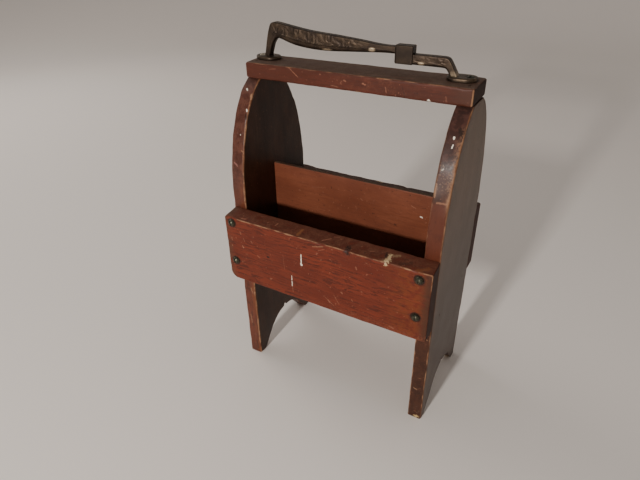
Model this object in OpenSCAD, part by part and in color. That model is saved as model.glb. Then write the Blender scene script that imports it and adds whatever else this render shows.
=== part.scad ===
// Magazine rack: two arched end boards, a rail along the front and the back,
// a centre divider that makes two pockets, a bottom board, a bar across the top
// and a cast handle on the bar.  Millimetres, X along the rails, Y to the back,
// Z up, origin on the floor under the middle of the rack.

/* [Overall] */
// Length over the outer faces of the end boards
rack_w = 271; // [200:1:360]
// Depth of an end board, front edge to back edge
board_d = 140; // [115:1:200]
// Height of an end board, which is the underside of the top bar
board_h = 398; // [340:1:480]

/* [End boards] */
// Thickness of an end board
board_t = 18; // [16:0.5:25]
// Height over the rails at which an end board's edges start to curve in
crown_lift = 12; // [2:0.5:40]
// Width of an end board where the bar sits on it
crown_top_w = 35; // [30:1:44]
// Width of a leg beside the arch of the cut-out
leg_w = 24; // [20:1:30]
// Width of a foot on the floor, where the cut-out flares
foot_w = 12; // [8:1:18]
// Height of the flare at the bottom of the cut-out
flare_h = 20; // [10:1:24]
// Height of the cut-out between the feet
arch_h = 43; // [25:1:60]
// Height of the small peak in the middle of the cut-out
peak_h = 5; // [2:0.5:8]
// Width of that peak where it leaves the arch
peak_w = 10; // [6:1:16]

/* [Rails] */
// Thickness of a rail
rail_t = 22; // [14:0.5:28]
// Height of a rail
rail_h = 96; // [75:1:105]
// Height of a rail's lower edge over the floor
rail_z = 151.5; // [110:0.5:160]
// Radius of a rail's top left corner
rail_r_left_top = 4; // [2:1:20]
// Radius of a rail's lower left corner
rail_r_left_low = 10; // [2:1:20]
// Radius of a rail's two right corners
rail_r_right = 2.5; // [1:0.5:10]
// Fall of a rail's top from its inner edge to its outer edge
rail_fall = 4.5; // [0:0.5:8]

/* [Bottom and divider] */
// Thickness of the bottom board
bottom_t = 12; // [9:0.5:19]
// Thickness of the divider
divider_t = 6; // [4:0.5:12]
// Height of the divider's top edge over a rail's top edge
divider_rise = 38; // [10:1:60]
// Depth of the stopped groove that holds an end of the divider
groove_depth = 6; // [4:0.5:9]
// Gap on each side of the divider in its grooves
groove_gap = 0.1; // [0.05:0.05:0.5]
// Gap between an end of the bottom board and the end board
bottom_gap = 0; // [0:0.1:0.5]

/* [Top bar] */
// Thickness of the top bar
bar_t = 18; // [14:0.5:25]
// Depth of the top bar
bar_d = 47; // [42:1:60]
// Step from an end board's outer face in to the end of the bar
bar_step = 1; // [0:0.5:3]
// Radius of the bar's long edges
bar_edge_r = 2; // [1:0.5:5]

/* [Handle] */
// How far the handle sits behind the middle of the bar
handle_y = 3; // [0:0.5:4]
// Left foot screw, out from the inner face of the end board
foot_off_left = 9; // [5:0.5:12]
// Right foot screw, out from the inner face of the end board
foot_off_right = 5; // [4.5:0.5:12]
// Height of the grip's left end over the bar
handle_rise = 41.5; // [38:0.5:52]
// Height of the grip's underside over the bar at its left end
shoulder_gap = 24.5; // [22:0.5:32]
// Height of the grip's lowest point over the bar
hand_gap = 15.5; // [13:0.5:20]
// Height of the grip's top over the bar where it meets the block
neck_top = 27; // [26:0.5:34]
// Height of the grip there, top to underside
neck_h = 7.5; // [7:0.5:10]
// Width of the casting, front to back
grip_w = 9; // [8:0.5:14]
// Width of the square block, front to back
block_d = 11; // [10:0.5:16]
// Length of the square block along the bar
block_w = 20; // [14:1:26]
// Height of the block's top over the bar
block_top = 29; // [28:0.5:36]
// Distance from the block to the outer end of the right foot pad
block_reach = 87; // [76:1:100]
// Height of the lower arm's underside over the bar
arm_gap = 10.5; // [8:0.5:12]
// Height of the lower arm, top to underside
arm_h = 10.5; // [8:0.5:12]
// Thickness of the left post along the bar
left_post_t = 7; // [5:0.5:10]
// Thickness of the right post along the bar
right_post_t = 8.5; // [5:0.5:10]
// How far the left post leans in on its way up
left_lean = 11.5; // [5:0.5:18]
// How far the right post leans in on its way up
right_lean = 12; // [5:0.5:16]
// Right post's foot, in from the middle of its pad
right_post_in = 6; // [2:0.5:8]
// Length of a foot pad
pad_l = 31; // [28:1:36]
// Width of a foot pad, front to back
pad_w = 22; // [18:1:26]
// Thickness of a foot pad
pad_t = 4; // [3.5:0.5:6]
// Foot screw, out from the middle of its pad
pad_screw = 8; // [7:0.5:9]

/* [Rail screws] */
// Diameter of a rail screw's head
screw_head_d = 10; // [8:0.5:12]
// Height of a rail screw's head
screw_head_h = 4; // [2.5:0.5:5]
// Diameter of a rail screw's shank
screw_d = 4.8; // [3.5:0.1:5.5]
// Length of a rail screw under its head
screw_l = 45; // [38:1:60]
// Left screws, out from the inner face of the end board
screw_off_left = 7; // [4:0.5:10]
// Right screws, out from the inner face of the end board
screw_off_right = 4; // [4:0.5:10]
// Top left screw, down from the rail's top edge
screw_drop_left = 11; // [9:0.5:20]
// Top right screw, down from the rail's top edge
screw_drop_right = 14; // [9:0.5:20]
// Lower left screw, up from the rail's lower edge
screw_lift_left = 29; // [12:0.5:34]
// Lower right screw, up from the rail's lower edge
screw_lift_right = 32; // [12:0.5:34]
// Width of a screw slot
slot_w = 1.2; // [0.8:0.1:1.6]
// Depth of a screw slot
slot_depth = 1.8; // [1:0.1:2.2]

/* [Handle screws and nails] */
// Diameter of a handle screw's oval head
foot_head_d = 8; // [7:0.5:9]
// Depth of the head's countersunk cone
foot_cone_h = 2.4; // [1.8:0.1:2.8]
// Height of the low dome on the head
foot_dome_h = 1.2; // [0.8:0.1:1.8]
// Diameter of a handle screw's shank
foot_screw_d = 4.2; // [3.5:0.1:5]
// Length of a handle screw under its head
foot_screw_l = 50; // [44:1:60]
// Diameter of a finishing nail
nail_d = 2; // [1.5:0.1:3]
// Diameter of a finishing nail's head
nail_head_d = 3; // [2.5:0.1:4]
// Height of a finishing nail's head
nail_head_h = 1.5; // [1:0.1:2.5]
// Length of a finishing nail
nail_l = 42; // [36:1:50]
// Distance of the bottom board's nails from the middle of the board
bottom_nail_y = 45; // [25:1:50]
// Distance of the bar's nails from the middle of the bar
bar_nail_y = 12; // [9.5:0.5:13]
// Radial gap round every screw and nail in its hole
hole_gap = 0.05; // [0.02:0.01:0.2]

/* [Hidden] */

round_fn = 64;      // facets asked of a full circle
cut = 1;            // how far a cutter runs past a face
curve_steps = 36;   // points on a formula curve

inner_w = rack_w - 2 * board_t;
rail_top = rail_z + rail_h;
bottom_top = rail_z + bottom_t;
divider_top = rail_top + divider_rise;
divider_h = divider_top - bottom_top;
divider_w = inner_w + 2 * (groove_depth - groove_gap);
bar_top = board_h + bar_t;
bar_w = rack_w - 2 * bar_step;
bar_nail_x = (rack_w - board_t) / 2;
bottom_nail_z = rail_z + bottom_t / 2;

// An end board's edges: upright to crown_z, then an ellipse that is vertical
// there and has come in to crown_top_w at the top.
crown_z = rail_top + crown_lift;
crown_h = board_h - crown_z;
crown_rise = crown_h / sqrt(1 - pow(crown_top_w / board_d, 2));
function crown_y(z) = board_d / 2 * sqrt(1 - pow((z - crown_z) / crown_rise, 2));
crown_points = [for (i = [0 : curve_steps])
    let (z = crown_z + crown_h * sin(90 * i / curve_steps)) [crown_y(z), z]];

// The cut-out: half an ellipse, then a straight flare from flare_h to the floor.
arch_half_w = board_d / 2 - leg_w;
flare_angle = asin(flare_h / arch_h);
arch_points = [for (i = [0 : curve_steps])
    let (a = flare_angle + (180 - 2 * flare_angle) * i / curve_steps)
    [arch_half_w * cos(a), arch_h * sin(a)]];
foot_in = board_d / 2 - foot_w;

// [x, z] of each rail screw, x along the rack and z over the floor
screw_left_x = -inner_w / 2 - screw_off_left;
screw_right_x = inner_w / 2 + screw_off_right;
left_top = [screw_left_x, rail_top - screw_drop_left];
left_low = [screw_left_x, rail_z + screw_lift_left];
right_top = [screw_right_x, rail_top - screw_drop_right];
right_low = [screw_right_x, rail_z + screw_lift_right];
rail_screws = [left_top, left_low, right_top, right_low];

wood = "#7a3b26";
wood_dark = "#5a3324";
bronze = "#4d4436";
steel = "#3a3a38";

// A quarter round to take off a square corner at the origin, first quadrant kept.
module corner_cut(r) {
    difference() {
        translate([-cut, -cut]) square([r + cut, r + cut]);
        translate([r, r]) circle(r = r, $fn = round_fn);
    }
}

// A hole along +Z from the origin for a shank of diameter d.
module shank_hole(d, l) {
    translate([0, 0, -cut]) cylinder(d = d + 2 * hole_gap, h = l + cut, $fn = round_fn);
}

// A shank along +Z from the origin, with a cone for its last stretch.
module shank(d, l) {
    point_l = 1.5 * d;
    cylinder(d = d, h = l - point_l, $fn = round_fn);
    translate([0, 0, l - point_l]) cylinder(d1 = d, d2 = d / 4, h = point_l, $fn = round_fn);
}

// A round-head screw: head below the origin, shank along +Z.
module round_head_screw(head_d, head_h, d, l) {
    dome_r = (pow(head_d / 2, 2) + pow(head_h, 2)) / (2 * head_h);
    shank(d, l);
    difference() {
        intersection() {
            translate([0, 0, dome_r - head_h]) sphere(r = dome_r, $fn = round_fn);
            translate([0, 0, -head_h]) cylinder(d = head_d, h = head_h, $fn = round_fn);
        }
        translate([-slot_w / 2, -head_d, -head_h - cut])
            cube([slot_w, 2 * head_d, slot_depth + cut]);
    }
}

// An oval-head screw: rim of its head at the origin, dome below, cone and shank along +Z.
module oval_head_screw(head_d, cone_h, dome_h, d, l) {
    dome_r = (pow(head_d / 2, 2) + pow(dome_h, 2)) / (2 * dome_h);
    difference() {
        union() {
            shank(d, l);
            cylinder(d1 = head_d, d2 = d, h = cone_h, $fn = round_fn);
            intersection() {
                translate([0, 0, dome_r - dome_h]) sphere(r = dome_r, $fn = round_fn);
                translate([0, 0, -dome_h]) cylinder(d = head_d, h = dome_h, $fn = round_fn);
            }
        }
        translate([-slot_w / 2, -head_d, -dome_h - cut])
            cube([slot_w, 2 * head_d, slot_depth + cut]);
    }
}

// The countersink that an oval-head screw's cone sits in.
module countersink(head_d, cone_h, d) {
    cylinder(d1 = head_d + 2 * hole_gap, d2 = d + 2 * hole_gap, h = cone_h + hole_gap,
        $fn = round_fn);
}

// A finishing nail: head's top at the origin, shank along +Z.
module finishing_nail() {
    cylinder(d = nail_head_d, h = nail_head_h, $fn = round_fn);
    translate([0, 0, nail_head_h]) shank(nail_d, nail_l - nail_head_h);
}

// The hole a finishing nail fills, its head's seat at the surface.
module nail_hole() {
    shank_hole(nail_head_d, nail_head_h);
    shank_hole(nail_d, nail_l + hole_gap);
}

// A rail screw's place: under its head, shank towards the middle of the rack.
// side is -1 for the front rail and 1 for the back one.
module at_rail_screw(side, at) {
    translate([at[0], side * (board_d / 2 + rail_t), at[1]]) rotate([side * 90, 0, 0]) children();
}

// In the next three, side is -1 for the left end and 1 for the right one.
module at_bottom_nails(side) {
    for (y = [-bottom_nail_y, bottom_nail_y])
        translate([side * rack_w / 2, y, bottom_nail_z]) rotate([0, -side * 90, 0]) children();
}

module at_bar_nails(side) {
    for (y = [-bar_nail_y, bar_nail_y])
        translate([side * bar_nail_x, y, bar_top]) rotate([180, 0, 0]) children();
}

module at_handle_screw(side) {
    translate([side < 0 ? foot_left_x : foot_right_x, handle_y, bar_top + pad_t])
        rotate([180, 0, 0]) children();
}

// Outline of an end board: x is the rack's Y, y is its Z.
module board_outline() {
    difference() {
        union() {
            translate([-board_d / 2, 0]) square([board_d, crown_z]);
            polygon(concat(crown_points, [for (i = [curve_steps : -1 : 0])
                [-crown_points[i][0], crown_points[i][1]]]));
        }
        polygon(concat([[foot_in + cut, -cut], [foot_in, 0]], arch_points,
            [[-foot_in, 0], [-foot_in - cut, -cut]]));
        polygon([[-peak_w / 2, arch_h - peak_h], [peak_w / 2, arch_h - peak_h],
            [0, arch_h + peak_h]]);
    }
}

module end_board(side) {
    color(wood_dark) difference() {
        translate([side * (rack_w - board_t) / 2 - board_t / 2, 0, 0])
            rotate([90, 0, 90]) linear_extrude(board_t) board_outline();
        translate([side * (inner_w / 2 + groove_depth / 2), 0, bottom_top + divider_h / 2])
            cube([groove_depth, divider_t + 2 * groove_gap, divider_h + 2 * groove_gap],
                center = true);
        for (rail_side = [-1, 1], at = rail_screws)
            at_rail_screw(rail_side, at) shank_hole(screw_d, screw_l + hole_gap);
        at_bottom_nails(side) nail_hole();
        at_bar_nails(side) nail_hole();
        at_handle_screw(side) shank_hole(foot_screw_d, foot_screw_l + hole_gap);
    }
}

// Face of a rail: x along the rack, y up, the left end at -X.
module rail_face() {
    difference() {
        square([rack_w, rail_h]);
        corner_cut(rail_r_left_low);
        translate([0, rail_h]) mirror([0, 1]) corner_cut(rail_r_left_top);
        translate([rack_w, 0]) mirror([1, 0]) corner_cut(rail_r_right);
        translate([rack_w, rail_h]) rotate(180) corner_cut(rail_r_right);
    }
}

// Section of a rail: x is the depth from its outer face, y up.
module rail_section() {
    polygon([[0, 0], [rail_t, 0], [rail_t, rail_h], [0, rail_h - rail_fall]]);
}

module rail(side) {
    color(wood) difference() {
        translate([0, side * (board_d / 2 + rail_t), rail_z]) mirror([0, side > 0 ? 1 : 0, 0])
            intersection() {
                translate([-rack_w / 2, rail_t, 0]) rotate([90, 0, 0])
                    linear_extrude(rail_t) rail_face();
                translate([-rack_w / 2, 0, 0]) rotate([90, 0, 90])
                    linear_extrude(rack_w) rail_section();
            }
        for (at = rail_screws) at_rail_screw(side, at) shank_hole(screw_d, screw_l);
    }
}

module end_board_left() { end_board(-1); }
module end_board_right() { end_board(1); }
module front_rail() { rail(-1); }
module rear_rail() { rail(1); }

module bottom_board() {
    color(wood_dark) difference() {
        translate([0, 0, bottom_nail_z])
            cube([inner_w - 2 * bottom_gap, board_d, bottom_t], center = true);
        for (side = [-1, 1]) at_bottom_nails(side) nail_hole();
    }
}

module centre_divider() {
    color(wood) translate([-divider_w / 2, -divider_t / 2, bottom_top])
        cube([divider_w, divider_t, divider_h]);
}

// Section of the bar: x is the rack's Y, y is its Z.
module bar_section() {
    difference() {
        square([bar_d, bar_t]);
        corner_cut(bar_edge_r);
        translate([bar_d, 0]) mirror([1, 0]) corner_cut(bar_edge_r);
        translate([0, bar_t]) mirror([0, 1]) corner_cut(bar_edge_r);
        translate([bar_d, bar_t]) rotate(180) corner_cut(bar_edge_r);
    }
}

module top_bar() {
    color(wood) difference() {
        translate([-bar_w / 2, -bar_d / 2, board_h]) rotate([90, 0, 90])
            linear_extrude(bar_w) bar_section();
        for (side = [-1, 1]) {
            at_bar_nails(side) nail_hole();
            at_handle_screw(side) shank_hole(foot_screw_d, foot_screw_l);
        }
    }
}

// The handle along the bar, from the places of its foot screws.
foot_left_x = -inner_w / 2 - foot_off_left;
foot_right_x = inner_w / 2 + foot_off_right;
pad_left_x = foot_left_x + pad_screw;
pad_right_x = foot_right_x - pad_screw;
shoulder_x = pad_left_x + left_lean;        // middle of the left post at the grip
block_x = pad_right_x + pad_l / 2 - block_reach;
arm_foot_x = pad_right_x - right_post_in;   // middle of the right post at its pad
arm_end_x = arm_foot_x - right_lean;        // middle of the right post at the arm
shoulder_r = 6;         // round of the grip's left shoulder
shoulder_z = handle_rise - shoulder_r;
bracket_w = 5;          // bracket where the left post turns into the grip
bracket_h = 8;
arm_bevel = 2;          // corner taken off where the arm turns into the right post
grip_bend = 0.75;       // under 1, the grip's top falls faster at the left
dip_at = 0.42;          // where the underside is lowest, as a share of the grip

// Top and underside of the grip, u from 0 at the shoulder to 1 at the block.
grip_l = block_x - shoulder_x;
neck_under = neck_top - neck_h;
function ease(a, b, u) = a + (b - a) * (1 - cos(180 * u)) / 2;
function grip_top(u) = handle_rise + (neck_top - handle_rise) * pow(u, grip_bend);
function grip_under(u) = u < dip_at
    ? shoulder_gap + (hand_gap - shoulder_gap) * sin(90 * u / dip_at)
    : ease(hand_gap, neck_under, (u - dip_at) / (1 - dip_at));
grip_upper_line = [for (i = [0 : curve_steps]) let (u = i / curve_steps)
    [shoulder_x + grip_l * u, grip_top(u)]];
grip_lower_line = [for (i = [curve_steps : -1 : 0]) let (u = i / curve_steps)
    [shoulder_x + grip_l * u, grip_under(u)]];

arm_top = arm_gap + arm_h;
// Inner edge of the left post at height z over the bar.
function left_post_inner(z) = pad_left_x + left_post_t / 2 + left_lean * z / shoulder_z;

// The handle's side view: x along the rack, y up from the bar.
module handle_side() {
    polygon(concat(grip_upper_line, grip_lower_line));
    // left post and its round shoulder
    translate([shoulder_x, shoulder_z]) circle(r = shoulder_r, $fn = round_fn);
    polygon([[pad_left_x - left_post_t / 2, 0], [left_post_inner(0), 0],
        [left_post_inner(shoulder_gap - bracket_h), shoulder_gap - bracket_h],
        [left_post_inner(shoulder_gap) + bracket_w, shoulder_gap],
        [shoulder_x, shoulder_z], [shoulder_x - shoulder_r, shoulder_z]]);
    // block, lower arm and right post
    translate([block_x, arm_gap]) square([block_w, block_top - arm_gap]);
    translate([block_x, arm_gap]) square([arm_end_x - block_x, arm_h]);
    polygon([[arm_end_x - right_post_t / 2, arm_gap], [arm_end_x - right_post_t / 2, arm_top],
        [arm_end_x + right_post_t / 2 - arm_bevel, arm_top],
        [arm_end_x + right_post_t / 2, arm_top - arm_bevel],
        [arm_foot_x + right_post_t / 2, 0], [arm_foot_x - right_post_t / 2, 0]]);
}

// The handle's plan: one width, with a wider block.
module handle_plan() {
    translate([pad_left_x - pad_l / 2, -grip_w / 2]) square([pad_right_x - pad_left_x + pad_l, grip_w]);
    translate([block_x, -block_d / 2]) square([block_w, block_d]);
}

// A foot pad: round ends, middle at the origin.
module foot_pad() {
    end_x = (pad_l - pad_w) / 2;
    translate([-end_x, -pad_w / 2, 0]) cube([2 * end_x, pad_w, pad_t]);
    for (x = [-end_x, end_x])
        translate([x, 0, 0]) cylinder(d = pad_w, h = pad_t, $fn = round_fn);
}

module carry_handle() {
    color(bronze) difference() {
        translate([0, handle_y, bar_top]) {
            intersection() {
                translate([0, block_d, 0]) rotate([90, 0, 0]) linear_extrude(2 * block_d) handle_side();
                linear_extrude(2 * handle_rise) handle_plan();
            }
            for (x = [pad_left_x, pad_right_x]) translate([x, 0, 0]) foot_pad();
        }
        for (side = [-1, 1]) at_handle_screw(side) {
            shank_hole(foot_screw_d, foot_screw_l);
            countersink(foot_head_d, foot_cone_h, foot_screw_d);
        }
    }
}

module rail_screw(side, at) {
    color(steel) at_rail_screw(side, at) round_head_screw(screw_head_d, screw_head_h, screw_d, screw_l);
}
module front_screw_left_top() { rail_screw(-1, left_top); }
module front_screw_left_low() { rail_screw(-1, left_low); }
module front_screw_right_top() { rail_screw(-1, right_top); }
module front_screw_right_low() { rail_screw(-1, right_low); }
module rear_screw_left_top() { rail_screw(1, left_top); }
module rear_screw_left_low() { rail_screw(1, left_low); }
module rear_screw_right_top() { rail_screw(1, right_top); }
module rear_screw_right_low() { rail_screw(1, right_low); }

module handle_screw(side) {
    color(steel) at_handle_screw(side)
        oval_head_screw(foot_head_d, foot_cone_h, foot_dome_h, foot_screw_d, foot_screw_l);
}
module handle_screw_left() { handle_screw(-1); }
module handle_screw_right() { handle_screw(1); }

module bar_nails_left() { color(steel) at_bar_nails(-1) finishing_nail(); }
module bar_nails_right() { color(steel) at_bar_nails(1) finishing_nail(); }
module bottom_nails_left() { color(steel) at_bottom_nails(-1) finishing_nail(); }
module bottom_nails_right() { color(steel) at_bottom_nails(1) finishing_nail(); }

end_board_left();
end_board_right();
front_rail();
rear_rail();
bottom_board();
centre_divider();
top_bar();
carry_handle();
front_screw_left_top();
front_screw_left_low();
front_screw_right_top();
front_screw_right_low();
rear_screw_left_top();
rear_screw_left_low();
rear_screw_right_top();
rear_screw_right_low();
handle_screw_left();
handle_screw_right();
bar_nails_left();
bar_nails_right();
bottom_nails_left();
bottom_nails_right();
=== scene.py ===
"""Looks of the magazine rack: stained boards with worn arrises, and the cast handle.

Sizes are in millimetres until a mesh is made; X runs along the rails, Y to the back, Z up.
"""

import math

import bmesh
import bpy
import numpy as np
from mathutils import Matrix, Vector


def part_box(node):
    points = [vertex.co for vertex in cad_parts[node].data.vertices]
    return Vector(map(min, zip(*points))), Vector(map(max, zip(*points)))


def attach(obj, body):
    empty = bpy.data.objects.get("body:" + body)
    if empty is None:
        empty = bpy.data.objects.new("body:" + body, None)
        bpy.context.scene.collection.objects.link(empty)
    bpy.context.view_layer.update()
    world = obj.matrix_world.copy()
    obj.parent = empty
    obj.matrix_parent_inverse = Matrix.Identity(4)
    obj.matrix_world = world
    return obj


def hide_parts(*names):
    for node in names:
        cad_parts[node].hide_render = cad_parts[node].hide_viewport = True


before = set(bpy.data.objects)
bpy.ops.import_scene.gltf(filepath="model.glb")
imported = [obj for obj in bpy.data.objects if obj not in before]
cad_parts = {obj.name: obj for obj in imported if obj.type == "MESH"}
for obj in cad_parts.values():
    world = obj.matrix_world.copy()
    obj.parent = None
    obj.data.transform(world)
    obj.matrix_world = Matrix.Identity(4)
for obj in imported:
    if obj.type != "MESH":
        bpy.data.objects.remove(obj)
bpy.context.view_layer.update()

MM = 0.001
TAU = 2 * math.pi


# ---------------------------------------------------------------- arrays


def cad(node):
    """Lowest and highest corner of a CAD node, in millimetres."""
    lo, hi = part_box(node)
    return np.array(lo) / MM, np.array(hi) / MM


def ease(lo, hi, x):
    """0 below lo, 1 above hi, and a smooth cubic step between."""
    t = np.clip((np.asarray(x, float) - lo) / (hi - lo), 0, 1)
    return t * t * (3 - 2 * t)


def wander(seed, wave, *places):
    """Smooth noise from about -1 to 1: a sum of twelve plane sine waves with random
    directions and phases, whose wavelengths run from wave down to a third of it."""
    rng = np.random.default_rng(seed)
    total = 0.0
    for step in range(12):
        turn = rng.normal(size=len(places))
        turn *= TAU / (wave * (1 - 0.06 * step)) / np.linalg.norm(turn)
        total = total + np.sin(sum(k * p for k, p in zip(turn, places)) + rng.uniform(0, TAU))
    return total / 4.0


def bump_at(x, y, x0, y0, half_x, half_y):
    """A round hill of height 1 over (x0, y0) that falls off as a bell curve."""
    return np.exp(-(((x - x0) / half_x) ** 2) - ((y - y0) / half_y) ** 2)


def line(a, b, count):
    """Points spread evenly from a to b."""
    t = np.linspace(0, 1, count)[:, None]
    return np.asarray(a, float) * (1 - t) + np.asarray(b, float) * t


def through(points, count):
    """A smooth curve through points: a Catmull-Rom spline at even steps of its parameter."""
    p = np.asarray(points, float)
    p = np.vstack([2 * p[0] - p[1], p, 2 * p[-1] - p[-2]])
    s = np.linspace(0, len(p) - 3 - 1e-9, count)
    i = s.astype(int)
    t = (s - i)[:, None]
    a, b, c, d = p[i], p[i + 1], p[i + 2], p[i + 3]
    bend, twist = 2 * a - 5 * b + 4 * c - d, 3 * b - a - 3 * c + d
    return 0.5 * (2 * b + (c - a) * t + bend * t**2 + twist * t**3)


def patch(bottom, right, top, left):
    """A grid that fills four sides: both ruled surfaces less the corners' own blend."""
    u = np.linspace(0, 1, len(bottom))[None, :, None]
    v = np.linspace(0, 1, len(left))[:, None, None]
    ruled = bottom[None] * (1 - v) + top[None] * v + left[:, None] * (1 - u) + right[:, None] * u
    corners = (bottom[0] * (1 - u) + bottom[-1] * u) * (1 - v) + (top[0] * (1 - u) + top[-1] * u) * v
    return ruled - corners


def inset_ring(ring, depth):
    """A closed outline, run anticlockwise, moved inwards by depth with mitred corners."""
    ahead = np.roll(ring, -1, axis=0) - ring
    ahead /= np.linalg.norm(ahead, axis=1, keepdims=True)
    normal = np.column_stack([ahead[:, 1], -ahead[:, 0]])
    before = np.roll(normal, 1, axis=0)
    mitre = (normal + before) / (1 + np.sum(normal * before, axis=1, keepdims=True))
    return ring - depth * mitre


# ---------------------------------------------------------------- meshes


class Shell:
    """Grids of points gathered into one closed mesh, with numbers kept at each point."""

    def __init__(self):
        self.points, self.faces, self.marks, self.count = [], [], {}, 0

    def grid(self, points, round_u=False, round_v=False, flip=False, **marks):
        """Adds a grid of points (rows, columns, 3), closed on itself where asked."""
        rows, cols = points.shape[:2]
        index = np.arange(rows * cols).reshape(rows, cols) + self.count
        if round_u:
            index = np.hstack([index, index[:, :1]])
        if round_v:
            index = np.vstack([index, index[:1]])
        quads = np.stack([index[:-1, :-1], index[:-1, 1:], index[1:, 1:], index[1:, :-1]], axis=-1)
        quads = quads.reshape(-1, 4)
        self.faces.append(quads[:, ::-1] if flip else quads)
        self.points.append(points.reshape(-1, 3))
        for name, values in marks.items():
            full = np.broadcast_to(values, (rows, cols)).reshape(-1)
            self.marks.setdefault(name, []).append((self.count, full))
        self.count += rows * cols

    def make(self, name, material, replaces, weld=3e-7):
        """The finished object: seams welded, smooth shaded, on the root body."""
        points = np.vstack(self.points) * MM
        faces = np.vstack(self.faces)
        mesh = bpy.data.meshes.new(name)
        mesh.vertices.add(len(points))
        mesh.vertices.foreach_set("co", points.astype(np.float32).ravel())
        mesh.loops.add(faces.size)
        mesh.loops.foreach_set("vertex_index", faces.ravel().astype(np.int32))
        mesh.polygons.add(len(faces))
        mesh.polygons.foreach_set("loop_start", np.arange(0, faces.size, 4, dtype=np.int32))
        for mark, parts in self.marks.items():
            values = np.zeros(len(points), np.float32)
            for start, part in parts:
                values[start : start + len(part)] = part
            layer = mesh.attributes.new(mark, "FLOAT", "POINT")
            layer.data.foreach_set("value", values)
        mesh.update()
        work = bmesh.new()
        work.from_mesh(mesh)
        bmesh.ops.remove_doubles(work, verts=work.verts, dist=weld)
        bmesh.ops.dissolve_degenerate(work, edges=work.edges, dist=1e-6)
        bmesh.ops.recalc_face_normals(work, faces=work.faces)
        work.to_mesh(mesh)
        work.free()
        mesh.polygons.foreach_set("use_smooth", np.ones(len(mesh.polygons), bool))
        mesh.materials.append(material)
        piece = bpy.data.objects.new(name, mesh)
        bpy.context.scene.collection.objects.link(piece)
        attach(piece, "root")
        if replaces:
            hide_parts(*replaces)
        return piece


ARC_STEPS = 6


def slab(shell, ring, inner, across, place, half, front_r, back_r, reach, shape=None, wear=None, wall=8):
    """A board as a rim and two faces.

    The rim carries a profile round the outline ring: in from the inner ring along one
    face, a quarter ellipse, the edge, a second quarter ellipse and back along the other
    face. The two faces are patches that fill the inner ring. Points are (a, b) on the
    outline and w through the thickness, and place turns them into the rack's X, Y, Z.

    across is the number of points on the outline's first side, and wall the number across
    its edge. half is half the thickness, as a number or a function of a and b. front_r and
    back_r are the widths of the two arrises, and reach is the inset of the inner ring.
    shape moves (a, b, w) before they are placed. wear gives four numbers for (a, b): how
    worn the front and back arrises are, the width of the worn band, and a corner's wear.
    The number kept as "worn" falls off as a bell curve with distance from the arris."""

    def half_at(a, b):
        return half(a, b) if callable(half) else half

    # row by row, depth is the distance in from the outline and level the distance from the
    # board's middle plane
    count = len(ring)
    front_r = np.broadcast_to(front_r, (count,))[None, :]
    back_r = np.broadcast_to(back_r, (count,))[None, :]
    half_t = np.broadcast_to(half_at(ring[:, 0], ring[:, 1]), (count,))[None, :]
    arc = np.linspace(0, math.pi / 2, ARC_STEPS)[:, None]
    flat = np.linspace(0, 1, 4)[:-1, None]
    edge = np.linspace(0, 1, wall)[1:-1, None]
    depth = np.vstack([
        reach + (front_r - reach) * flat, front_r * (1 - np.sin(arc)),
        np.zeros((wall - 2, count)), back_r * (1 - np.sin(arc[::-1])),
        back_r + (reach - back_r) * (1 - flat[::-1]),
    ])
    front_w = half_t - front_r * (1 - np.cos(arc))
    back_w = -half_t + back_r * (1 - np.cos(arc[::-1]))
    level = np.vstack([
        np.repeat(half_t, 3, axis=0), front_w,
        front_w[-1:] + (back_w[:1] - front_w[-1:]) * edge, back_w, np.repeat(-half_t, 3, axis=0),
    ])
    share = (depth / reach)[:, :, None]
    flat_at = ring[None] * (1 - share) + inner[None] * share

    def lay(ab, w, from_edge):
        """The placed points, and how worn each of them is."""
        a, b = ab[..., 0], ab[..., 1]
        marks = {}
        if wear is not None:
            front, back, width, corner = wear(a, b)
            near_front = np.exp(-((np.hypot(from_edge, half_at(a, b) - w) / width) ** 2))
            near_back = np.exp(-((np.hypot(from_edge, half_at(a, b) + w) / width) ** 2))
            marks["worn"] = np.maximum.reduce([front * near_front, back * near_back, corner + 0 * w])
        if shape is not None:
            a, b, w = shape(a, b, w)
        return place(a, b, w), marks

    rim, marks = lay(flat_at, level, depth)
    shell.grid(rim, round_u=True, **marks)
    closed = np.vstack([inner, inner[:1]])
    up = (count - 2 * (across - 1)) // 2
    ends = [0, across - 1, across - 1 + up, 2 * (across - 1) + up, count]
    bottom, right, top, left = (closed[i : j + 1] for i, j in zip(ends[:-1], ends[1:]))
    face = patch(bottom, right, top[::-1], left[::-1])
    for side in (1, -1):
        w = side * half_at(face[..., 0], face[..., 1]) * np.ones(face.shape[:2])
        points, marks = lay(face, w, np.full(face.shape[:2], float(reach)))
        shell.grid(points, flip=side < 0, **marks)


def box_ring(lo, hi, radii, counts, corner=5):
    """A rectangle with round corners as a ring of points, anticlockwise from its lower
    left, and the number of points on its lower side. radii: lower left, lower right, upper
    right, upper left. counts: points on the straight part of a level side and of an upright
    side. Each corner's quarter circle is shared by the two sides that meet there."""
    (x0, y0), (x1, y1) = lo, hi
    turn = np.linspace(0, math.pi / 2, 2 * corner + 1)
    corners = ((x0, y0, 1, 1), (x1, y0, -1, 1), (x1, y1, -1, -1), (x0, y1, 1, -1))
    starts = (math.pi, 1.5 * math.pi, 0, 0.5 * math.pi)
    arcs = []
    for (x, y, into_x, into_y), start, r in zip(corners, starts, radii):
        arc_x = x + into_x * r + r * np.cos(start + turn)
        arc_y = y + into_y * r + r * np.sin(start + turn)
        arcs.append(np.column_stack([arc_x, arc_y]))
    parts = []
    for k, count in enumerate((*counts, *counts)):
        here, there = arcs[k], arcs[(k + 1) % 4]
        parts += [here[corner:-1], line(here[-1], there[0], count)[:-1], there[:corner]]
    return np.vstack(parts), 2 * corner + counts[0]


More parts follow.
